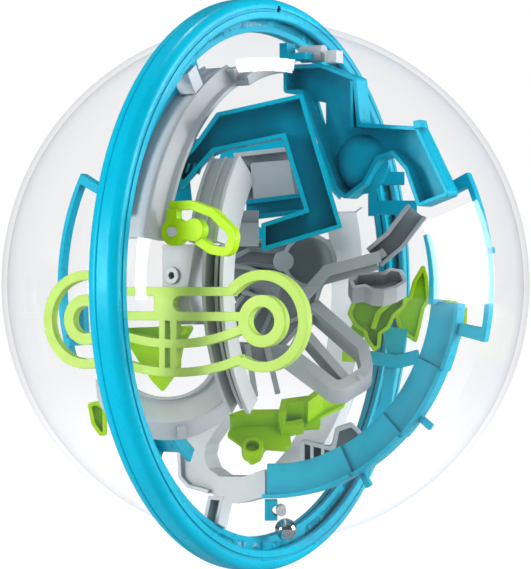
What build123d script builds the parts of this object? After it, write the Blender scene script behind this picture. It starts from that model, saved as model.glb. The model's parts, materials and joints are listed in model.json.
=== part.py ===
from build123d import *

import os
from math import cos, radians, sin, sqrt

# A tilt maze: a clear sphere split at a blue ring, with a steel ball and a maze of moulded tracks inside.
# The origin is the centre of the sphere, the ring's axis is Y, and -Y is the front dome.

# Driving dimensions (mm)
sphere_radius = 95.0
dome_wall = 2.0
ring_radius = 103.0
ring_half_width = 5.8
ring_seam = 1.6
ball_diameter = 7.94
ball_front = 8.6
track_wall = 1.4
track_floor = 1.6
busy_side_turn = 58.5

# Derived dimensions
dome_inside = sphere_radius - dome_wall
hoop_half_width = 2.0
hoop_inner = 91.0
hoop_outer = 97.5
flange_thickness = 1.6
ring_bore = 98.0
lip_start = hoop_half_width + flange_thickness + 0.2
lip_bore = sphere_radius + 0.4
rim_round = 3.2
ball_radius = ball_diameter / 2
ball_gap = 0.4
ball_orbit = sqrt((dome_inside - ball_radius - ball_gap) ** 2 - ball_front**2)

# Frames that the maze is laid out in. In each, the local z axis is the one its arcs turn about.
ring_frame = Plane(origin=(0, 0, 0), x_dir=(1, 0, 0), z_dir=(0, -1, 0))
side_frame = Plane(origin=(0, 0, 0), x_dir=(0, -1, 0), z_dir=(-1, 0, 0))
to_busy_side = Vector(-sin(radians(busy_side_turn)), -cos(radians(busy_side_turn)), 0)
along_busy_side = Vector(cos(radians(busy_side_turn)), -sin(radians(busy_side_turn)), 0)


def side_plane(front_x):
    """A plane across X that faces -X, with its local x along -Y."""
    return Plane(origin=(front_x, 0, 0), x_dir=(0, -1, 0), z_dir=(-1, 0, 0))


def busy_plane(depth, across=0.0, up=0.0, lean=0.0):
    """A plane that faces the maze's busy side, at a depth from the centre, leaning back by an angle."""
    origin = to_busy_side * depth + along_busy_side * across + Vector(0, 0, up)
    normal = to_busy_side * cos(radians(lean)) + Vector(0, 0, sin(radians(lean)))
    return Plane(origin=origin, x_dir=along_busy_side, z_dir=normal)


def section_plane(frame, angle):
    """The plane of an arc's section: local x is the radius, local y runs along the frame's axis."""
    radial = frame.x_dir * cos(radians(angle)) + frame.y_dir * sin(radians(angle))
    return Plane(origin=frame.origin, x_dir=radial, z_dir=radial.cross(frame.z_dir))


def save(piece, label):
    """Label a finished piece and write its STEP file."""
    piece.part.label = label
    export_step(piece.part, f"parts/{label}.step")


def add_arc(frame, start, end, section, mode=Mode.ADD):
    """Turn a closed section, given as (radius, axial) points, round a frame's axis."""
    with BuildSketch(section_plane(frame, start)) as profile:
        with BuildLine():
            Polyline(*section, close=True)
        make_face()
    turn_axis = Axis(frame.origin, frame.z_dir)
    revolve(profile.sketch, axis=turn_axis, revolution_arc=end - start, mode=mode)


def channel_section(radius, low, high, rise):
    """A U section: a floor between two axial edges, with walls that rise outward from it."""
    top = radius + rise
    bed = radius + track_floor
    return [
        (radius, low),
        (top, low),
        (top, low + track_wall),
        (bed, low + track_wall),
        (bed, high - track_wall),
        (top, high - track_wall),
        (top, high),
        (radius, high),
    ]


def box_section(inner, outer, low, high):
    """A plain rectangular section."""
    return [(inner, low), (outer, low), (outer, high), (inner, high)]


def add_outline(plane, points, height, round_radius=0.0, mode=Mode.ADD):
    """Extrude a closed outline, its corners rounded where a radius is given."""
    with BuildSketch(plane) as outline:
        with BuildLine():
            if round_radius > 0:
                FilletPolyline(*points, radius=round_radius, close=True)
            else:
                Polyline(*points, close=True)
        make_face()
    extrude(outline.sketch, amount=height, mode=mode)


def add_tray(plane, points, depth, round_radius):
    """A tray whose rim lies in the plane: a floor behind it and a wall all round."""
    bottom = plane.offset(-depth)
    add_outline(bottom, points, depth, round_radius)
    with BuildSketch(bottom.offset(track_floor)) as bed:
        with BuildLine():
            Polyline(*points, close=True)
        make_face()
        offset(amount=-track_wall, kind=Kind.INTERSECTION, mode=Mode.REPLACE)
    extrude(bed.sketch, amount=depth, mode=Mode.SUBTRACT)


def add_strip(plane, route, width, height, round_radius=0.0, mode=Mode.ADD):
    """Extrude a strip of even width that follows a route of points."""
    with BuildSketch(plane) as strip:
        with BuildLine():
            if round_radius > 0:
                FilletPolyline(*route, radius=round_radius)
            else:
                Polyline(*route)
        trace(line_width=width)
    extrude(strip.sketch, amount=height, mode=mode)


def add_channel(plane, route, width, depth, round_radius=0.0):
    """A channel of even width along a route, open at its ends, with its rim in the plane."""
    bottom = plane.offset(-depth)
    add_strip(bottom, route, width, depth, round_radius)
    bed = bottom.offset(track_floor)
    add_strip(bed, route, width - 2 * track_wall, depth, round_radius, Mode.SUBTRACT)


def add_bulge(plane, radius, height):
    """A shallow round bulge that stands on a plane."""
    ball = (radius**2 + height**2) / (2 * height)
    turned = Plane(origin=plane.origin, x_dir=plane.x_dir, z_dir=-plane.y_dir)
    with BuildSketch(turned) as half:
        with Locations((0, height - ball)):
            Circle(ball)
        Rectangle(radius, height, align=(Align.MIN, Align.MIN), mode=Mode.INTERSECT)
    revolve(half.sketch, axis=Axis(plane.origin, plane.z_dir))


os.makedirs("parts", exist_ok=True)

# Sphere and ring ----------------------------------------------------------------------------------

with BuildPart() as dome_front:
    with BuildSketch(section_plane(ring_frame, 0)):
        Circle(sphere_radius)
        Circle(dome_inside, mode=Mode.SUBTRACT)
        with Locations((0, hoop_half_width)):
            Rectangle(
                2 * ring_radius,
                2 * ring_radius,
                align=(Align.MIN, Align.MIN),
                mode=Mode.INTERSECT,
            )
        with Locations((dome_inside, hoop_half_width)):
            Rectangle(
                hoop_outer - dome_inside,
                flange_thickness,
                align=(Align.MIN, Align.MIN),
            )
    revolve(axis=Axis(ring_frame.origin, ring_frame.z_dir))
save(dome_front, "dome_front")

with BuildPart() as dome_back:
    add(dome_front.part.mirror(Plane.XZ))
save(dome_back, "dome_back")

hoop_groove = 0.8
with BuildPart() as maze_hoop:
    add_arc(
        ring_frame,
        0,
        360,
        box_section(hoop_inner, hoop_outer, -hoop_half_width, hoop_half_width),
    )
    add_arc(
        ring_frame,
        0,
        360,
        box_section(hoop_inner - 1, hoop_inner + 1, -hoop_groove / 2, hoop_groove / 2),
        Mode.SUBTRACT,
    )
save(maze_hoop, "maze_hoop")

pin_hole_diameter = 2.4
pin_hole_depth = 2.6
pin_hole_radius = ring_radius - 3.6
crease_radius = 98.6
crease_half_width = 0.5
crease_depth = 0.35
edge_break = 0.5
seam_break = 0.35


def add_ring_half(side):
    """Half of the ring, from its seam out to the face on the axial side named by 1 or -1."""
    shoulder = side * (ring_half_width - rim_round)
    with BuildSketch(section_plane(ring_frame, 0)) as half:
        with BuildLine():
            Polyline(
                (ring_bore, -ring_seam),
                (ring_bore, side * lip_start),
                (lip_bore, side * lip_start),
                (lip_bore, side * (ring_half_width - edge_break)),
                (lip_bore + edge_break, side * ring_half_width),
                (ring_radius - rim_round, side * ring_half_width),
            )
            CenterArc((ring_radius - rim_round, shoulder), rim_round, 0, side * 90)
            Polyline(
                (ring_radius, shoulder),
                (ring_radius, side * seam_break - ring_seam),
                (ring_radius - seam_break, -ring_seam),
                (ring_bore, -ring_seam),
            )
        make_face()
    revolve(half.sketch, axis=Axis(ring_frame.origin, ring_frame.z_dir))


crease_section = box_section(
    crease_radius - crease_half_width,
    crease_radius + crease_half_width,
    ring_half_width - crease_depth,
    ring_half_width + crease_depth,
)
with BuildPart() as ring_front:
    add_ring_half(1)
    add_arc(ring_frame, 0, 360, crease_section, Mode.SUBTRACT)
    with Locations(Plane(origin=(0, -ring_half_width, pin_hole_radius), z_dir=(0, -1, 0))):
        Hole(pin_hole_diameter / 2, pin_hole_depth)
save(ring_front, "ring_front")

with BuildPart() as ring_back:
    add_ring_half(-1)
save(ring_back, "ring_back")

# Posts that hold the maze from the hoop -----------------------------------------------------------

post_half_width = 3.2
post_depth = 6.0
post_clearance = 0.1
post_table = {
    "top_post": (126.0, 82.9),
    "bottom_post": (248.0, 81.0),
    "rear_post": (-8.0, 80.5),
}
for post_name, (post_angle, post_reach) in post_table.items():
    post_length = hoop_inner - post_clearance - post_reach
    with BuildPart() as post:
        foot = section_plane(ring_frame, post_angle).offset(-post_depth / 2)
        with BuildSketch(foot):
            with Locations((post_reach, 0)):
                Rectangle(post_length, 2 * post_half_width, align=(Align.MIN, Align.CENTER))
        extrude(amount=post_depth)
        with BuildSketch(foot.offset(track_wall)):
            with Locations((post_reach + track_wall, 0)):
                Rectangle(
                    post_length,
                    2 * (post_half_width - track_wall),
                    align=(Align.MIN, Align.CENTER),
                )
        extrude(amount=post_depth, mode=Mode.SUBTRACT)
    save(post, post_name)

# Grey tracks round the ring's axis ----------------------------------------------------------------

with BuildPart() as outer_arc_track:
    add_arc(
        ring_frame,
        112,
        169,
        [
            (80.4, -6.8),
            (82.8, -6.8),
            (82.8, -5.8),
            (82.0, -5.8),
            (82.0, 2.4),
            (82.8, 2.6),
            (82.8, 3.6),
            (81.8, 4.0),
            (77.6, 5.4),
            (77.0, 7.4),
            (75.6, 7.4),
            (76.2, 4.2),
            (80.4, 2.4),
        ],
    )
    add_arc(ring_frame, 93, 114, channel_section(75.8, -3.0, 12.4, 3.6))
    add_arc(ring_frame, 112, 114, box_section(75.8, 82.0, -3.0, 7.4))
save(outer_arc_track, "outer_arc_track")

with BuildPart() as inner_arc_track:
    add_arc(
        ring_frame,
        141,
        168,
        [
            (66.0, 11.2),
            (69.4, 11.2),
            (69.4, 12.4),
            (68.0, 12.4),
            (68.0, 16.2),
            (68.8, 16.4),
            (68.8, 17.2),
            (68.0, 17.4),
            (68.0, 21.4),
            (69.4, 21.4),
            (69.4, 22.8),
            (57.0, 22.8),
            (57.0, 21.4),
            (66.0, 21.4),
        ],
    )
save(inner_arc_track, "inner_arc_track")

with BuildPart() as drop_track:
    add_arc(ring_frame, 168, 222, channel_section(58.6, 15.2, 23.6, 7.0))
    add_arc(ring_frame, 168, 222, box_section(60.0, 63.4, 18.8, 20.0))
save(drop_track, "drop_track")

with BuildPart() as rear_arc_track:
    add_arc(ring_frame, -76, 22, channel_section(74.4, -15.0, -1.0, 6.0))
save(rear_arc_track, "rear_arc_track")

box_front_x = -66.0
box_outline = [(-0.4, 13.5), (12.6, 13.4), (9.8, -1.7), (13.0, -13.4), (-0.4, -13.5)]
box_boss = (3.9, 3.0)
boss_radius = 2.8
boss_hole_radius = 1.2
with BuildPart() as post_box:
    face = side_plane(box_front_x)
    add_outline(face.offset(-8.0), box_outline, 8.0)
    with BuildSketch(face):
        with Locations(box_boss):
            Circle(boss_radius)
            Circle(boss_hole_radius, mode=Mode.SUBTRACT)
    extrude(amount=1.0)
    with BuildSketch(face):
        with Locations(box_boss):
            Circle(boss_hole_radius)
    extrude(amount=-4.0, mode=Mode.SUBTRACT)
save(post_box, "post_box")

# Hooked track below the rails: a tilted trough with a deep skirt ----------------------------------

hook_frame = busy_plane(35.0, across=-34.0, up=-27.5, lean=41.0)
with BuildPart() as hook_track:
    add_arc(
        hook_frame,
        196,
        352,
        [
            (15.5, -1.6),
            (15.5, 1.2),
            (16.7, 1.2),
            (16.7, 0.0),
            (25.6, 0.0),
            (25.6, -10.0),
            (24.2, -10.0),
            (24.2, -1.6),
        ],
    )
    with BuildSketch(section_plane(hook_frame, 282)):
        with Locations((25.8, -5.6)):
            Rectangle(2.0, 6.0)
    extrude(amount=1.4, both=True)
save(hook_track, "hook_track")

# Lower grey bend that leads into the stair track --------------------------------------------------

bend_plane = side_plane(1.0)
bend_depth = 9.0
bend_outline = [
    (-17.4, -46.5),
    (-20.4, -51.5),
    (-26.1, -59.0),
    (-27.1, -63.1),
    (-25.2, -67.8),
    (-20.4, -70.5),
    (-10.0, -70.1),
    (-0.8, -66.9),
    (-0.8, -76.9),
    (-11.8, -80.0),
    (-18.2, -80.0),
    (-23.9, -76.9),
    (-33.6, -75.2),
    (-37.6, -71.6),
    (-38.3, -57.6),
    (-34.9, -53.6),
    (-27.9, -52.4),
]
bend_rim = [(-27.9, -53.0), (-34.6, -54.3), (-37.4, -58.0), (-36.8, -71.2), (-33.2, -74.5), (-24.2, -76.1)]
with BuildPart() as bend_track:
    add_outline(bend_plane.offset(-bend_depth), bend_outline, bend_depth, 0.8)
    with BuildSketch(bend_plane.offset(-bend_depth)) as bend_hollow:
        with BuildLine():
            Polyline(*bend_outline, close=True)
        make_face()
        offset(amount=-track_wall, kind=Kind.INTERSECTION, mode=Mode.REPLACE)
    extrude(bend_hollow.sketch, amount=bend_depth - track_floor, mode=Mode.SUBTRACT)
    add_strip(bend_plane, bend_rim, track_wall, 1.8, 2.0)
save(bend_track, "bend_track")

# Grey cluster in the middle -----------------------------------------------------------------------

bar_plane = busy_plane(21.4)
with BuildPart() as centre_bar:
    add_strip(bar_plane, [(13.0, -4.9), (21.5, 4.9), (40.1, 9.8)], 4.0, 8.0)
    add_strip(bar_plane, [(20.0, 1.2), (39.5, 6.6)], 3.0, 4.5)
    add_channel(busy_plane(22.0), [(38.5, 9.6), (45.5, 15.5), (53.5, 26.0)], 8.4, 8.0)
    add_strip(busy_plane(15.0), [(38.8, 9.4), (42.0, 11.6)], 3.0, 8.0)
save(centre_bar, "centre_bar")

with BuildPart() as centre_bowl:
    add_tray(
        busy_plane(22.0, across=40.2, up=-1.1, lean=50.0),
        [
            (-9.5, -0.5),
            (-5.3, 0.6),
            (-2.5, -1.6),
            (1.4, -2.1),
            (6.3, 0.1),
            (9.9, 3.4),
            (8.5, 9.9),
            (4.2, 11.0),
            (1.4, 8.8),
            (-2.1, 8.8),
            (-8.1, 8.3),
            (-10.9, 4.5),
        ],
        7.0,
        0.9,
    )
save(centre_bowl, "centre_bowl")

cup_radius = 9.6
cup_plane = busy_plane(21.0, across=15.6, up=8.4)
knob_plane = busy_plane(9.0, across=6.4, up=8.2)
with BuildPart() as centre_cup:
    cup_section = Plane(origin=cup_plane.origin, x_dir=cup_plane.x_dir, z_dir=-cup_plane.y_dir)
    with BuildSketch(cup_section) as cup:
        Circle(cup_radius)
        Circle(cup_radius - track_wall, mode=Mode.SUBTRACT)
        Rectangle(cup_radius, cup_radius, align=(Align.MIN, Align.MAX), mode=Mode.INTERSECT)
    revolve(cup.sketch, axis=Axis(cup_plane.origin, cup_plane.z_dir))
    with BuildSketch(knob_plane) as knob:
        Circle(3.6)
    extrude(knob.sketch, amount=12.0)
save(centre_cup, "centre_cup")

core_back = busy_plane(-4.0)
core_outline = [
    (-16.2, 15.4),
    (-1.5, 16.5),
    (12.5, 15.8),
    (23.5, 16.5),
    (25.7, 8.4),
    (20.6, -1.8),
    (18.4, -9.2),
    (12.5, -16.5),
    (5.9, -23.9),
    (-1.5, -26.1),
    (-7.3, -20.2),
    (-9.6, -9.2),
    (-14.0, 1.8),
]
core_depth = 4.0
core_ring_radius = 8.0
with BuildPart() as core_plate:
    add_tray(core_back, core_outline, core_depth, 1.0)
    for rib_route in [[(-10.0, -6.0), (22.0, 11.0)], [(-3.0, -22.0), (12.0, 14.0)]]:
        add_strip(core_back.offset(-core_depth), rib_route, track_wall, core_depth)
    with BuildSketch(core_back.offset(-core_depth)) as core_ring:
        with Locations((8.0, -6.0)):
            Circle(core_ring_radius)
            Circle(core_ring_radius - track_wall, mode=Mode.SUBTRACT)
    extrude(core_ring.sketch, amount=core_depth)
    add_channel(busy_plane(6.0), [(-21.0, 3.0), (-8.0, 2.0), (5.0, -2.5)], 10.0, 9.0, 6.0)
    add_channel(busy_plane(2.0), [(-3.0, -3.0), (-9.0, -12.0), (-17.5, -21.0)], 9.0, 8.0, 6.0)
    add_channel(busy_plane(0.0), [(4.0, 9.0), (-6.0, 10.0), (-19.0, 9.0)], 7.0, 8.0, 6.0)
save(core_plate, "core_plate")

with BuildPart() as gate_wall:
    add_outline(busy_plane(10.0), [(-13.5, 26.2), (-2.4, 26.2), (-2.4, 21.8), (-13.5, 21.2)], 9.0)
    add_outline(busy_plane(10.0), [(-10.6, 21.8), (-2.4, 21.8), (-2.4, 13.5), (-10.6, 13.5)], 12.0)
    add_channel(busy_plane(12.0), [(-7.0, 15.0), (-15.0, 11.0)], 7.0, 7.0)
save(gate_wall, "gate_wall")

with BuildPart() as back_gate:
    gate_plane = busy_plane(-20.0)
    add_outline(gate_plane, [(-12.0, 47.0), (12.0, 50.0), (14.6, 30.0), (-1.5, 27.6), (-10.0, 31.0)], 2.0)
    add_outline(gate_plane, [(-5.5, 44.7), (8.8, 45.8), (11.0, 31.9), (-4.4, 31.5)], 7.0, 1.0)
    add_strip(gate_plane, [(-10.6, 44.0), (-8.6, 32.0)], 1.6, 9.0)
    add_strip(gate_plane, [(-11.6, 47.4), (12.2, 50.2)], 1.6, 9.0)
save(back_gate, "back_gate")

finger_plane = busy_plane(30.0, across=23.5, up=-20.5, lean=36.0)
finger_depth = 9.0
finger_route = [(-6.5, 17.5), (10.5, -1.0), (12.0, -11.0), (1.5, -18.5), (-15.5, -3.0)]
finger_base = finger_plane.offset(-finger_depth)
with BuildPart() as finger_loop:
    add_strip(finger_base, finger_route, 4.2, finger_depth, 4.0)
    add_strip(finger_base, [(-9.5, 6.0), (5.6, -15.6)], 3.0, finger_depth - 1.0)
    add_strip(finger_base, [(-6.5, 17.5), (-15.5, -3.0)], 2.4, finger_depth - 3.0)
    add_strip(finger_base, [(8.6, -13.4), (9.8, -15.0)], 2.0, finger_depth + 0.8)
save(finger_loop, "finger_loop")

with BuildPart() as slat_rack:
    rack_plane = busy_plane(6.0)
    add_outline(rack_plane, [(-16.0, -20.0), (10.0, -22.0), (12.5, -30.0), (-14.0, -28.0)], 2.0)
    slat_routes = [
        [(-14.5, -22.0), (-8.0, -38.5)],
        [(-6.5, -21.5), (-3.6, -40.0)],
        [(0.5, -22.5), (4.4, -39.0)],
    ]
    for route in slat_routes:
        add_strip(rack_plane, route, 2.0, 8.0)
save(slat_rack, "slat_rack")

with BuildPart() as back_turn:
    turn_plane = busy_plane(-14.0, across=5.0, up=-4.0)
    add_tray(
        turn_plane,
        [
            (8.0, -53.0),
            (19.5, -56.0),
            (21.0, -49.0),
            (27.0, -47.0),
            (33.5, -53.5),
            (28.0, -62.0),
            (20.0, -62.5),
            (8.0, -62.0),
        ],
        9.0,
        1.5,
    )
    for rib_across in (11.5, 15.5):
        add_outline(
            turn_plane.offset(-8.0),
            [
                (rib_across, -61.4),
                (rib_across + 1.2, -61.4),
                (rib_across + 1.2, -54.6),
                (rib_across, -54.6),
            ],
            8.0,
        )
save(back_turn, "back_turn")

# Blue tracks --------------------------------------------------------------------------------------

with BuildPart() as square_channel:
    add_tray(
        busy_plane(54.0),
        [
            (-24.5, 47.0),
            (-16.6, 58.2),
            (12.5, 64.7),
            (26.1, 19.3),
            (-1.4, 11.2),
            (-1.4, 20.7),
            (13.2, 25.4),
            (5.8, 49.8),
            (-17.3, 45.0),
            (-28.8, 32.2),
            (-30.8, 40.4),
        ],
        12.0,
        0.6,
    )
    for tooth_across in (-27.0, -25.0, -23.0):
        tooth_route = [(tooth_across, 37.8), (tooth_across + 1.2, 41.2)]
        add_strip(busy_plane(43.0), tooth_route, 0.8, 9.0)
save(square_channel, "square_channel")

with BuildPart() as rear_square_channel:
    add(square_channel.part.rotate(Axis.Z, 180))
save(rear_square_channel, "rear_square_channel")

top_plane = side_plane(-8.0)
bulge_radius = 10.6
bulge_height = 6.0
with BuildPart() as top_track:
    add_tray(
        top_plane,
        [
            (12.4, 78.3),
            (27.3, 78.0),
            (42.0, 72.5),
            (43.6, 56.4),
            (66.2, 54.4),
            (78.6, 30.7),
            (66.2, 26.5),
            (61.2, 39.7),
            (56.0, 45.0),
            (51.0, 43.6),
            (45.4, 34.9),
            (37.4, 29.8),
            (33.4, 33.4),
            (19.1, 67.8),
            (12.4, 68.1),
        ],
        8.0,
        1.6,
    )
    bulge_plane = Plane(origin=(-1.4, -40.9, 42.4), x_dir=top_plane.x_dir, z_dir=top_plane.z_dir)
    add_bulge(bulge_plane, bulge_radius, bulge_height)
    add_outline(top_plane.offset(-4.0), [(65.4, 53.6), (68.4, 54.0), (67.6, 56.6), (65.0, 56.2)], 5.0)
    add_outline(
        top_plane.offset(-9.0),
        [(22.6, 65.4), (26.2, 64.6), (26.2, 56.6), (25.4, 56.6)],
        4.0,
        mode=Mode.SUBTRACT,
    )
    add_outline(
        top_plane.offset(-9.0),
        [(36.6, 71.4), (38.8, 70.8), (38.8, 56.0), (36.6, 56.0)],
        4.0,
        mode=Mode.SUBTRACT,
    )
    add_outline(
        top_plane.offset(-8.0),
        [(39.6, 71.6), (40.8, 71.2), (40.8, 55.0), (39.6, 55.0)],
        8.0,
    )
save(top_track, "top_track")

with BuildPart() as outer_wall_arc:
    add_arc(side_frame, -13, 26, box_section(86.4, 88.2, -7.0, -3.5))
    add_arc(side_frame, 23.0, 26, box_section(79.4, 87.0, -7.0, -3.5))
    add_arc(side_frame, -13, -10, box_section(77.6, 87.0, -7.0, -3.5))
    add_arc(side_frame, 7, 8.2, box_section(87.6, 89.6, -6.4, -4.4))
save(outer_wall_arc, "outer_wall_arc")

stair_inner = 65.0
stair_outer = 77.2
stair_slab = 2.2
stair_drop = 1.4
stair_breaks = [-90, -62, -44, -23, -5]
with BuildPart() as stair_track:
    for number in range(4):
        face_z = -1.0 - stair_drop * number
        add_arc(
            side_frame,
            stair_breaks[number],
            stair_breaks[number + 1],
            [
                (stair_inner, face_z - stair_slab),
                (stair_outer, face_z - stair_slab),
                (stair_outer, face_z + 3.6),
                (stair_outer - track_wall, face_z + 3.6),
                (stair_outer - track_wall, face_z),
                (stair_inner, face_z),
            ],
        )
    for nub_angle in (-38, -61):
        add_arc(side_frame, nub_angle, nub_angle + 1.6, box_section(stair_outer - 0.5, 82.4, -4.6, -2.6))
    add_arc(side_frame, -6, 15, box_section(66.0, 67.8, -8.0, -1.0))
save(stair_track, "stair_track")

shelf_plane = busy_plane(30.0)
with BuildPart() as shelf_track:
    add_tray(
        shelf_plane,
        [
            (-35.0, 37.0),
            (-33.5, 43.0),
            (-27.0, 50.0),
            (-12.0, 54.0),
            (-12.0, 47.5),
            (-20.9, 43.6),
            (-27.9, 40.2),
        ],
        6.0,
        0.8,
    )
    add_outline(
        shelf_plane.offset(-6.0),
        [(-34.4, 38.0), (-27.0, 41.4), (-25.8, 29.5), (-33.0, 28.5)],
        track_floor,
    )
save(shelf_track, "shelf_track")

with BuildPart() as arc_liner:
    add_arc(ring_frame, 117, 164, box_section(84.2, 85.6, -9.0, -3.8))
    add_arc(ring_frame, 117, 119, box_section(84.2, 90.0, -9.0, -3.8))
save(arc_liner, "arc_liner")

with BuildPart() as left_wall_arc:
    add_arc(side_frame, 151, 200, box_section(84.2, 86.0, 6.0, 10.0))
    add_arc(side_frame, 151, 153.5, box_section(76.0, 85.0, 6.0, 10.0))
    add_arc(side_frame, 194, 196, box_section(74.0, 85.0, 6.0, 10.0))
save(left_wall_arc, "left_wall_arc")

with BuildPart() as side_arc_track:
    add_arc(ring_frame, 112, 158, channel_section(70.0, -24.0, -8.4, 6.0))
save(side_arc_track, "side_arc_track")

with BuildPart() as side_block:
    add_tray(busy_plane(4.0), [(-72.1, -7.6), (-64.2, -7.6), (-63.4, -21.6), (-70.6, -22.3)], 4.0, 1.0)
save(side_block, "side_block")

with BuildPart() as lower_side_track:
    add_arc(ring_frame, 224, 238, channel_section(68.0, -21.0, -7.0, 5.0))
save(lower_side_track, "lower_side_track")

with BuildPart() as rear_bracket:
    bracket_plane = busy_plane(-36.0)
    add_strip(bracket_plane, [(39.0, -27.5), (50.0, -29.0), (58.0, -27.0)], 5.0, 5.0, 4.0)
    add_outline(bracket_plane, [(44.0, -15.5), (53.5, -17.0), (52.0, -26.0), (46.0, -26.0)], 4.0)
    add_strip(bracket_plane, [(47.0, -30.0), (45.5, -44.0), (40.5, -56.0)], 4.0, 4.0, 4.0)
save(rear_bracket, "rear_bracket")

with BuildPart() as inner_ledge:
    ledge_plane = busy_plane(-2.0)
    add_strip(ledge_plane, [(-7.0, 29.6), (15.0, 32.4)], 1.6, 7.0)
    add_strip(ledge_plane, [(-7.0, 24.0), (15.0, 26.6)], 1.6, 7.0)
    add_outline(ledge_plane, [(-7.0, 23.6), (15.0, 26.2), (15.0, 32.4), (-7.0, 29.6)], track_floor)
save(inner_ledge, "inner_ledge")

with BuildPart() as cross_bracket:
    cross_plane = busy_plane(-8.0)
    add_strip(cross_plane, [(36.5, 38.6), (50.5, 38.6)], 4.6, 6.0)
    add_strip(cross_plane, [(39.0, 28.0), (55.0, 28.0)], 5.0, 6.0)
    add_strip(cross_plane, [(39.0, 41.0), (39.0, 25.0)], 3.0, 6.0)
save(cross_bracket, "cross_bracket")

# Green rails and tracks ---------------------------------------------------------------------------

rail_turn = 86.0
rail_distance = 68.2
rail_thickness = 3.4
rail_mid_z = -12.0
left_eye_across = -32.0
right_eye_across = 35.8
rail_mid_across = (left_eye_across + right_eye_across) / 2
outer_bar_left = left_eye_across + 10.6
outer_bar_right = right_eye_across - 10.6
inner_bar_left = left_eye_across + 7.4
inner_bar_right = right_eye_across - 7.4
rail_bar = 3.0
eye_radius = 16.8
eye_bar = 3.4
eye_hub_radius = 8.6
eye_hole_radius = 4.7
mouth_reach = 28.0
rail_plane = Plane(
    origin=(-rail_distance * sin(radians(rail_turn)), -rail_distance * cos(radians(rail_turn)), 0),
    x_dir=(cos(radians(rail_turn)), -sin(radians(rail_turn)), 0),
    z_dir=(-sin(radians(rail_turn)), -cos(radians(rail_turn)), 0),
)
eye_centres = [(left_eye_across, rail_mid_z), (right_eye_across, rail_mid_z)]
with BuildPart() as double_eye_rail:
    with BuildSketch(rail_plane):
        with Locations(*eye_centres):
            Circle(eye_radius)
            Circle(eye_radius - eye_bar, mode=Mode.SUBTRACT)
    extrude(amount=rail_thickness)
    for side, eye_across in ((-1, left_eye_across), (1, right_eye_across)):
        mouth = [(eye_across, rail_mid_z)]
        for mouth_angle in (139.0, 239.0):
            reach_across = eye_across + side * mouth_reach * cos(radians(mouth_angle))
            mouth.append((reach_across, rail_mid_z + mouth_reach * sin(radians(mouth_angle))))
        add_outline(rail_plane, mouth, rail_thickness, mode=Mode.SUBTRACT)
    with BuildSketch(rail_plane):
        with Locations(*eye_centres):
            Circle(eye_hub_radius)
            Circle(eye_hole_radius, mode=Mode.SUBTRACT)
    extrude(amount=rail_thickness)
    add_strip(rail_plane, [(outer_bar_left, -2.3), (outer_bar_right, -2.3)], rail_bar, rail_thickness)
    add_strip(rail_plane, [(inner_bar_left, -10.6), (inner_bar_right, -10.6)], rail_bar, rail_thickness)
    with BuildSketch(rail_plane):
        for arc_up, arc_dip in ((-14.6, -19.8), (-24.4, -29.4)):
            with BuildLine():
                ThreePointArc((inner_bar_left, arc_up), (rail_mid_across, arc_dip), (inner_bar_right, arc_up))
            trace(line_width=rail_bar)
    extrude(amount=rail_thickness)
    add_outline(rail_plane, [(-5.0, -1.0), (5.0, -1.0), (5.0, -11.0), (-5.0, -11.0)], rail_thickness)
    with BuildSketch(rail_plane):
        with Locations((5.0, -6.4)):
            Circle(2.6)
    extrude(amount=rail_thickness, mode=Mode.SUBTRACT)
    for leg_across in (-1.8, 2.6):
        add_strip(rail_plane, [(leg_across, -10.6), (leg_across, -28.0)], 2.2, rail_thickness)
save(double_eye_rail, "double_eye_rail")

loop_plane = side_plane(-74.6)
hub_across = 11.9
hub_up = 17.4
knob_across = 20.0
pin_radius = 1.7
with BuildPart() as hub_loop:
    add_strip(
        loop_plane,
        [(10.2, 26.0), (18.6, 26.2), (27.0, 23.4), (34.9, 16.6), (33.6, 10.2), (26.6, 11.4), (21.0, 14.6)],
        3.0,
        3.0,
        3.0,
    )
    with BuildSketch(loop_plane):
        with Locations((hub_across, hub_up)):
            Circle(4.6)
        with Locations((knob_across, hub_up + 0.6)):
            Circle(3.8)
        with Locations(((hub_across + knob_across) / 2, hub_up + 0.4)):
            Rectangle(knob_across - hub_across, 6.2)
        with Locations((hub_across - 0.6, 22.6)):
            Rectangle(4.0, 5.0)
    extrude(amount=3.4)
    with BuildSketch(loop_plane):
        with Locations((hub_across, hub_up)):
            Circle(pin_radius)
    extrude(amount=3.4, mode=Mode.SUBTRACT)
save(hub_loop, "hub_loop")

with BuildPart() as shield_plate:
    add_outline(
        busy_plane(41.0),
        [
            (-50.0, -15.0),
            (-24.0, -14.0),
            (-28.0, -21.0),
            (-29.6, -29.5),
            (-35.2, -37.0),
            (-39.0, -33.0),
            (-43.0, -27.0),
            (-46.4, -21.5),
        ],
        4.0,
        1.0,
    )
    add_strip(busy_plane(45.0), [(-47.0, -16.6), (-36.0, -19.0), (-27.0, -16.0)], 1.6, 3.0, 4.0)
save(shield_plate, "shield_plate")

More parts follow.
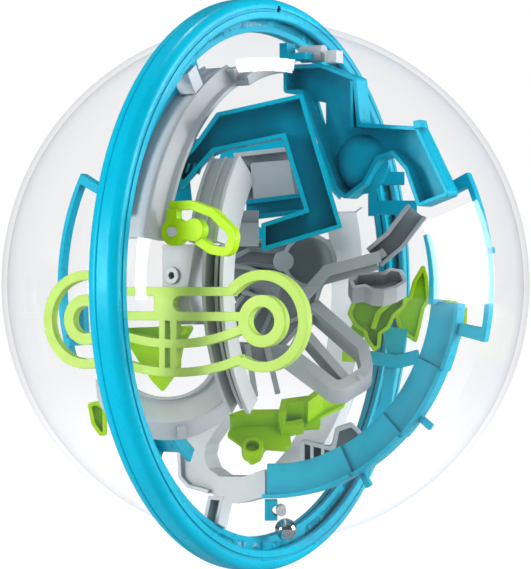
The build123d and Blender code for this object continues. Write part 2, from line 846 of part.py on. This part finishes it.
zigzag_plane = busy_plane(10.0, up=-52.0, lean=40.0)
with BuildPart() as zigzag_track:
    add_outline(
        zigzag_plane,
        [
            (-13.7, -3.3),
            (-11.8, 2.0),
            (6.0, 2.4),
            (14.7, 5.4),
            (20.2, 8.9),
            (30.1, 14.6),
            (28.4, 10.0),
            (19.7, 4.6),
            (19.7, 0.1),
            (14.2, -0.3),
            (8.7, -2.6),
            (9.3, -7.6),
            (7.1, -9.7),
            (0.0, -9.0),
            (-1.8, -13.8),
            (-5.0, -15.7),
            (-7.7, -12.4),
            (-8.8, -7.6),
        ],
        track_floor,
        0.9,
    )
    add_strip(zigzag_plane, [(-12.4, -0.6), (-8.0, 1.4), (6.6, 1.6)], 1.8, 9.0, 3.0)
    add_strip(zigzag_plane, [(5.6, -2.2), (6.6, 3.0), (15.0, 4.4)], 2.2, 13.0)
    add_strip(zigzag_plane, [(14.4, 2.6), (20.0, 8.0), (29.2, 13.2)], 2.0, 14.0)
    add_strip(zigzag_plane, [(5.2, -2.6), (13.4, -0.6)], 2.4, 6.0)
    with BuildSketch(zigzag_plane) as lobe:
        with Locations((-4.6, -10.6)):
            Circle(3.9)
            Circle(2.4, mode=Mode.SUBTRACT)
    extrude(lobe.sketch, amount=5.0)
save(zigzag_track, "zigzag_track")

with BuildPart() as petal_track:
    add_tray(
        busy_plane(-24.0),
        [
            (30.6, -10.8),
            (32.8, -5.6),
            (39.5, -4.0),
            (46.2, -4.0),
            (50.7, -3.4),
            (52.9, -4.8),
            (52.2, -8.6),
            (48.4, -11.9),
            (46.2, -16.4),
            (43.2, -18.6),
            (42.9, -23.1),
            (40.6, -25.3),
            (37.3, -20.9),
            (36.6, -17.9),
            (32.8, -15.3),
        ],
        6.0,
        0.8,
    )
    add_strip(busy_plane(-30.0), [(36.0, -15.0), (32.0, -22.0), (31.6, -29.0)], 6.0, 2.0, 3.0)
    add_strip(busy_plane(-29.0), [(46.4, -6.6), (42.0, -10.6), (40.0, -16.6)], 2.0, 6.0, 3.0)
save(petal_track, "petal_track")

leaf_table = {
    "side_leaf": (
        -10.0,
        [(-65.3, -43.6), (-61.6, -42.9), (-58.3, -45.1), (-58.3, -55.4), (-60.9, -55.4), (-63.8, -51.3)],
    ),
    "leaf_plate": (
        -44.0,
        [
            (64.0, -2.0),
            (72.0, -6.0),
            (77.0, -9.0),
            (76.8, -15.0),
            (73.5, -23.0),
            (66.0, -24.0),
            (62.6, -14.0),
        ],
    ),
    "petal_plate": (
        -36.0,
        [
            (59.9, 8.3),
            (61.4, 2.6),
            (62.2, -6.4),
            (60.2, -9.0),
            (58.6, -16.6),
            (57.1, -22.3),
            (53.7, -20.0),
            (50.3, -16.6),
            (49.1, -12.1),
            (51.4, -6.4),
            (54.2, -4.7),
            (55.9, 1.5),
        ],
    ),
}
for leaf_name, (leaf_depth, leaf_outline) in leaf_table.items():
    with BuildPart() as leaf:
        add_tray(busy_plane(leaf_depth), leaf_outline, 4.0, 0.8)
    save(leaf, leaf_name)

# Clips, pegs and the ball -------------------------------------------------------------------------

with BuildPart() as lower_clip:
    clip_plane = busy_plane(6.0, across=2.0, up=-81.0)
    with BuildSketch(clip_plane):
        Rectangle(4.6, 7.0)
        with Locations((2.3, 0)):
            Circle(1.9, mode=Mode.SUBTRACT)
    extrude(amount=4.0, both=True)
save(lower_clip, "lower_clip")

with BuildPart() as top_clip:
    with BuildSketch(side_plane(-8.2)):
        with Locations((16.0, 82.0)):
            Rectangle(3.0, 6.6)
        with Locations((21.0, 80.4)):
            Rectangle(8.0, 2.4)
    extrude(amount=6.0)
save(top_clip, "top_clip")

with BuildPart() as maze_pegs:
    with BuildSketch(side_plane(-68.6)):
        with Locations((hub_across, hub_up)):
            Circle(pin_radius)
    extrude(amount=10.4)
    with BuildSketch(busy_plane(2.0, across=5.6, up=-81.0)):
        Circle(1.9)
    extrude(amount=9.0)
    with BuildSketch(side_plane(-2.0)):
        with Locations((31.4, 80.4)):
            Rectangle(4.0, 4.4)
    extrude(amount=5.0)
    with BuildSketch(Plane(origin=(-4.4, -18.0, 81.9), z_dir=(0, -1, 0))):
        Circle(3.0)
    extrude(amount=9.0)
save(maze_pegs, "maze_pegs")

with BuildPart() as steel_ball:
    with Locations((0, -ball_front, -ball_orbit)):
        Sphere(ball_radius)
save(steel_ball, "steel_ball")
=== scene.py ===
import json
from math import cos, pi, radians, sin

import bpy
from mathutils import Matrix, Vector


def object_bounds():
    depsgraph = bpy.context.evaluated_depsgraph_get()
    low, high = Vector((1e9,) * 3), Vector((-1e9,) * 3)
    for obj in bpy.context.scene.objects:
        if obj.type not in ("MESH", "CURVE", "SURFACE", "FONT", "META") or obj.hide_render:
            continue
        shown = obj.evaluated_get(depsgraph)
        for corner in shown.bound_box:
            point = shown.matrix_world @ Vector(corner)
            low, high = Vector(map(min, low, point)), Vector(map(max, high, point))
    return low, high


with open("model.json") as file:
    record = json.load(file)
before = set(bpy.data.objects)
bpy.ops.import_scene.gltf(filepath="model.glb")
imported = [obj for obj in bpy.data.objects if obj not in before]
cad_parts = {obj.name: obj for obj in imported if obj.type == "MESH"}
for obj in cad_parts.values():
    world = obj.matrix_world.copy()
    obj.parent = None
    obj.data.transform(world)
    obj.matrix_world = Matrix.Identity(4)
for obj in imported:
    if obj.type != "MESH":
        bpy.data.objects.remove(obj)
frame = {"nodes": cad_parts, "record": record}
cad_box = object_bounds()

# Looks for the clear sphere maze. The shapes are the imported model's: this script gives every node its
# material and adds the studio. Everything is in metres, in the model's own frame.

low_corner, high_corner = (Vector(corner) for corner in cad_box)
centre = (low_corner + high_corner) / 2
mm = 0.001


# Node-tree helpers ------------------------------------------------------------------------------------


def new_material(name):
    """An empty node material, and its node tree."""
    material = bpy.data.materials.new(name)
    material.use_nodes = True
    material.node_tree.nodes.clear()
    return material, material.node_tree


def add_node(tree, kind, inputs=None, **settings):
    """A node with its settings, and its inputs set to values or linked from sockets."""
    node = tree.nodes.new(kind)
    for setting, value in settings.items():
        setattr(node, setting, value)
    for socket_name, value in (inputs or {}).items():
        if isinstance(value, bpy.types.NodeSocket):
            tree.links.new(value, node.inputs[socket_name])
        else:
            node.inputs[socket_name].default_value = value
    return node


def noise(tree, scale, detail=3.0, roughness=0.5):
    """Object-space noise: scale is in features per metre."""
    place = add_node(tree, "ShaderNodeTexCoord")
    inputs = {"Vector": place.outputs["Object"], "Scale": scale, "Detail": detail, "Roughness": roughness}
    return add_node(tree, "ShaderNodeTexNoise", inputs).outputs["Fac"]


def remap(tree, value, low, high, new_low=0.0, new_high=1.0):
    """The value stretched from one range to another, and held inside it."""
    inputs = {"Value": value, "From Min": low, "From Max": high, "To Min": new_low, "To Max": new_high}
    return add_node(tree, "ShaderNodeMapRange", inputs).outputs["Result"]


# The colour sockets of a mix node share their names with others, so they are found by number.
mix_first = 6
mix_second = 7
mix_result = 2


def mix_colour(tree, factor, first, second):
    """A mix of two colours, each a colour or a socket."""
    inputs = {"Factor": factor}
    for index, colour in ((mix_first, first), (mix_second, second)):
        linked = isinstance(colour, bpy.types.NodeSocket)
        inputs[index] = colour if linked else (*colour, 1.0)
    return add_node(tree, "ShaderNodeMix", inputs, data_type="RGBA").outputs[mix_result]


def rounded_edges(tree, radius):
    """A normal that rounds sharp edges, and a mask that is 1 along them."""
    bevel = add_node(tree, "ShaderNodeBevel", {"Radius": radius}, samples=6)
    surface = add_node(tree, "ShaderNodeNewGeometry")
    normals = {0: bevel.outputs["Normal"], 1: surface.outputs["Normal"]}
    alignment = add_node(tree, "ShaderNodeVectorMath", normals, operation="DOT_PRODUCT")
    mask = remap(tree, alignment.outputs["Value"], 0.98, 0.80)
    return bevel.outputs["Normal"], mask


def distance_from_middle(tree):
    """How far a point is from the middle of the sphere, where little light reaches; it sets the painted
    shade there.
    """
    place = add_node(tree, "ShaderNodeTexCoord")
    span = add_node(tree, "ShaderNodeVectorMath", {0: place.outputs["Object"]}, operation="LENGTH")
    return span.outputs["Value"]


# Materials --------------------------------------------------------------------------------------------


edge_rounding = 0.5 * mm
# How strongly the painted highlight along the edges shows.
edge_highlight_share = 0.55
flow_mark_depth = 0.16
# The painted shade in the middle of the maze is full inside core_radius and gone at core_reach.
core_radius = 22 * mm
core_reach = 70 * mm


def moulded_plastic(name, shade_and_flow_colour, base, bright, edge_highlight_colour, sheen, roughness, reach, core_shade):
    """Injection-moulded plastic with painted shade in its corners, a painted highlight where it is open, and
    a painted highlight along its edges.

    The reach is how far a wall casts painted shade on its neighbours. The core_shade is how much painted
    shade darkens the middle of the maze: all of it inside the core's radius, and none past its reach.
    """
    material, tree = new_material(name)
    normal, edge_mask = rounded_edges(tree, edge_rounding)
    shelter = add_node(tree, "ShaderNodeAmbientOcclusion", {"Distance": reach}, samples=8, only_local=True)
    openness = shelter.outputs["AO"]
    flow = noise(tree, scale=38.0, detail=4.0, roughness=0.55)
    grain = noise(tree, scale=2600.0, detail=3.0, roughness=0.6)
    wear = noise(tree, scale=210.0, detail=5.0, roughness=0.6)

    # Painted shade in the corners and a painted highlight on open faces, set by how sheltered each point is.
    lit = mix_colour(tree, remap(tree, openness, 0.05, 0.60), shade_and_flow_colour, base)
    with_open_highlight = mix_colour(tree, remap(tree, openness, 0.72, 1.0, 0.0, 0.8), lit, bright)
    # Painted shade towards the middle of the maze.
    in_core = remap(tree, distance_from_middle(tree), core_radius, core_reach, core_shade, 0.0)
    with_core_shade = mix_colour(tree, in_core, with_open_highlight, shade_and_flow_colour)
    varied = mix_colour(tree, remap(tree, flow, 0.40, 0.72, 0.0, flow_mark_depth), with_core_shade, shade_and_flow_colour)
    # A painted highlight along the edges, laid on at part strength.
    edge_highlit = mix_colour(tree, edge_mask, varied, edge_highlight_colour)
    with_edge_highlight = mix_colour(tree, remap(tree, edge_mask, 0.0, 1.0, 0.0, edge_highlight_share), varied, edge_highlit)

    shine = remap(tree, wear, 0.3, 0.7, roughness - 0.07, roughness + 0.09)
    texture = add_node(
        tree,
        "ShaderNodeBump",
        {"Strength": 0.05, "Distance": 0.08 * mm, "Height": grain, "Normal": normal},
    )
    shader = add_node(
        tree,
        "ShaderNodeBsdfPrincipled",
        {
            "Base Color": with_edge_highlight,
            "Roughness": shine,
            "Normal": texture.outputs["Normal"],
            "IOR": 1.5,
            "Specular IOR Level": 0.22,
            "Specular Tint": (*sheen, 1.0),
        },
    )
    add_node(tree, "ShaderNodeOutputMaterial", {"Surface": shader.outputs["BSDF"]})
    return material


mirror_share = 0.040
rim_mirror_share = 0.16


def clear_plastic(name, middle, rim):
    """A thin clear shell: seen through everywhere, with a faint tint and more mirror towards its outline."""
    material, tree = new_material(name)
    facing = add_node(tree, "ShaderNodeLayerWeight", {"Blend": 0.5}).outputs["Facing"]
    waves = noise(tree, scale=22.0, detail=2.0, roughness=0.5)
    haze = noise(tree, scale=90.0, detail=4.0, roughness=0.6)
    ripple = add_node(tree, "ShaderNodeBump", {"Strength": 0.05, "Distance": 0.5 * mm, "Height": waves})
    tint = mix_colour(tree, remap(tree, facing, 0.50, 1.0), middle, rim)
    see = add_node(tree, "ShaderNodeBsdfTransparent", {"Color": tint})
    gloss = add_node(
        tree,
        "ShaderNodeBsdfPrincipled",
        {
            "Base Color": (0.93, 0.94, 0.98, 1.0),
            "Metallic": 1.0,
            "Roughness": remap(tree, haze, 0.3, 0.7, 0.015, 0.05),
            "Normal": ripple.outputs["Normal"],
        },
    )
    share = remap(tree, facing, 0.75, 1.0, mirror_share, rim_mirror_share)
    layers = {"Fac": share, 1: see.outputs["BSDF"], 2: gloss.outputs["BSDF"]}
    both = add_node(tree, "ShaderNodeMixShader", layers)
    add_node(tree, "ShaderNodeOutputMaterial", {"Surface": both.outputs["Shader"]})
    return material


def polished_steel(name):
    """A bearing ball: bright, with fine scuffs."""
    material, tree = new_material(name)
    scuffs = noise(tree, scale=1800.0, detail=4.0, roughness=0.7)
    patches = remap(tree, noise(tree, scale=400.0), 0.3, 0.7)
    tone = mix_colour(tree, patches, (0.60, 0.62, 0.66), (0.78, 0.79, 0.82))
    texture = add_node(tree, "ShaderNodeBump", {"Strength": 0.04, "Distance": 0.05 * mm, "Height": scuffs})
    shader = add_node(
        tree,
        "ShaderNodeBsdfPrincipled",
        {
            "Base Color": tone,
            "Metallic": 1.0,
            "Roughness": remap(tree, scuffs, 0.35, 0.7, 0.06, 0.20),
            "Normal": texture.outputs["Normal"],
        },
    )
    add_node(tree, "ShaderNodeOutputMaterial", {"Surface": shader.outputs["BSDF"]})
    return material


# Each plastic has its own colour (base), a darker colour for painted shade and flow marks, a lighter one for
# the painted highlight on open faces, and a pale one for the painted highlight along edges.
blue = moulded_plastic(
    "blue_plastic",
    shade_and_flow_colour=(0.0, 0.12, 0.19),
    base=(0.0, 0.31, 0.46),
    bright=(0.0, 0.42, 0.61),
    edge_highlight_colour=(0.01, 0.54, 0.75),
    sheen=(0.30, 0.85, 1.0),
    roughness=0.30,
    reach=7 * mm,
    core_shade=0.35,
)
grey = moulded_plastic(
    "grey_plastic",
    shade_and_flow_colour=(0.17, 0.21, 0.23),
    base=(0.43, 0.46, 0.48),
    bright=(0.60, 0.62, 0.64),
    edge_highlight_colour=(0.76, 0.78, 0.80),
    sheen=(1.0, 1.0, 1.0),
    roughness=0.36,
    reach=9 * mm,
    core_shade=0.75,
)
green = moulded_plastic(
    "green_plastic",
    shade_and_flow_colour=(0.17, 0.44, 0.0),
    base=(0.34, 0.66, 0.0),
    bright=(0.42, 0.72, 0.0),
    edge_highlight_colour=(0.56, 0.84, 0.04),
    sheen=(0.80, 1.0, 0.40),
    roughness=0.32,
    reach=7 * mm,
    core_shade=0.30,
)
pale_green = moulded_plastic(
    "pale_green_plastic",
    shade_and_flow_colour=(0.17, 0.38, 0.0),
    base=(0.36, 0.60, 0.04),
    bright=(0.46, 0.67, 0.12),
    edge_highlight_colour=(0.62, 0.80, 0.26),
    sheen=(0.90, 1.0, 0.60),
    roughness=0.34,
    reach=5 * mm,
    core_shade=0.0,
)
clear = clear_plastic("clear_plastic", middle=(0.996, 0.997, 0.999), rim=(0.96, 0.965, 0.98))
steel = polished_steel("polished_steel")

slot_materials = {
    "blue_moulding": blue,
    "grey_moulding": grey,
    "green_moulding": green,
    "clear_dome": clear,
    "steel_ball": steel,
}
# The rails are moulded in a paler green than the rest of their slot.
own_materials = {"double_eye_rail": pale_green}
node_slots = {entry["node"]: entry["material_slot"] for entry in frame["record"]["subparts"]}
for node_name, node in frame["nodes"].items():
    slot_material = slot_materials[node_slots[node_name]]
    for slot in node.material_slots:
        slot.material = own_materials.get(node_name, slot_material)


# Studio -----------------------------------------------------------------------------------------------

camera_turn = radians(58.5)
camera_distance = 0.830
to_camera = Vector((-sin(camera_turn), -cos(camera_turn), 0.0))
to_right = Vector((cos(camera_turn), -sin(camera_turn), 0.0))

camera_data = bpy.data.cameras.new("camera")
camera_data.lens = 145.0
camera_data.sensor_width = 36.0
camera = bpy.data.objects.new("camera", camera_data)
bpy.context.collection.objects.link(camera)
camera.location = centre + to_camera * camera_distance
camera.rotation_euler = (-to_camera).to_track_quat("-Z", "Y").to_euler()
bpy.context.scene.camera = camera


def add_softbox(name, side_angle, height_angle, distance, width, height, radiance):
    """An area light round the object, its angles in degrees from the camera's side, to the right and up."""
    side = radians(side_angle)
    rise = radians(height_angle)
    level = to_camera * cos(side) + to_right * sin(side)
    direction = level * cos(rise) + Vector((0, 0, sin(rise)))
    data = bpy.data.lights.new(name, "AREA")
    data.shape = "RECTANGLE"
    data.size = width
    data.size_y = height
    data.energy = radiance * pi * width * height
    light = bpy.data.objects.new(name, data)
    bpy.context.collection.objects.link(light)
    light.location = centre + direction * distance
    light.rotation_euler = (-direction).to_track_quat("-Z", "Y").to_euler()
    return light


softbox_distance = 1.2
add_softbox("left_softbox", -58.5, -4, softbox_distance, width=0.34, height=0.92, radiance=23.0)
add_softbox("right_softbox", 93, 7, softbox_distance, width=0.80, height=0.62, radiance=13.0)
add_softbox("top_softbox", 180, 74, softbox_distance, width=0.30, height=0.14, radiance=30.0)
front_fill = add_softbox("front_fill", 12, 32, distance=1.6, width=1.0, height=1.0, radiance=2.0)
front_fill.visible_glossy = False


def backdrop_strength(tree, seen, mirrored, lit):
    """One strength where the camera looks, one in reflections, and one for the light on the object."""
    rays = add_node(tree, "ShaderNodeLightPath")
    unseen = remap(tree, rays.outputs["Is Glossy Ray"], 0.0, 1.0, lit, mirrored)
    return remap(tree, rays.outputs["Is Camera Ray"], 0.0, 1.0, unseen, seen)


# The backdrop and the floor are paper white where the camera sees them, and dimmer in reflections and as
# light, so that the colours behind the domes stay deep.
backdrop_light = 0.40

world = bpy.data.worlds.new("studio")
world.use_nodes = True
background = world.node_tree.nodes["Background"]
strength = backdrop_strength(world.node_tree, seen=1.0, mirrored=0.06, lit=backdrop_light)
world.node_tree.links.new(strength, background.inputs["Strength"])
background.inputs["Color"].default_value = (1.0, 1.0, 1.0, 1.0)
bpy.context.scene.world = world
bpy.context.scene.view_settings.view_transform = "Standard"

floor_drop = 1 * mm
floor_reach = 6.0
bpy.ops.mesh.primitive_plane_add(size=2 * floor_reach, location=(0, 0, low_corner.z - floor_drop))
floor = bpy.context.object
floor.name = "floor"
floor_material, floor_tree = new_material("floor_paper")
fibres = noise(floor_tree, scale=60.0)
paper = mix_colour(floor_tree, fibres, (0.95, 0.95, 0.955), (0.98, 0.98, 0.983))
shaded_paper = mix_colour(floor_tree, fibres, (0.42, 0.42, 0.425), (0.46, 0.46, 0.463))
floor_shader = add_node(
    floor_tree,
    "ShaderNodeBsdfPrincipled",
    {
        "Base Color": shaded_paper,
        "Roughness": 0.9,
        "Specular IOR Level": 0.0,
        "Emission Color": paper,
        "Emission Strength": backdrop_strength(floor_tree, seen=0.85, mirrored=0.0, lit=backdrop_light),
    },
)
add_node(floor_tree, "ShaderNodeOutputMaterial", {"Surface": floor_shader.outputs["BSDF"]})
floor.data.materials.append(floor_material)
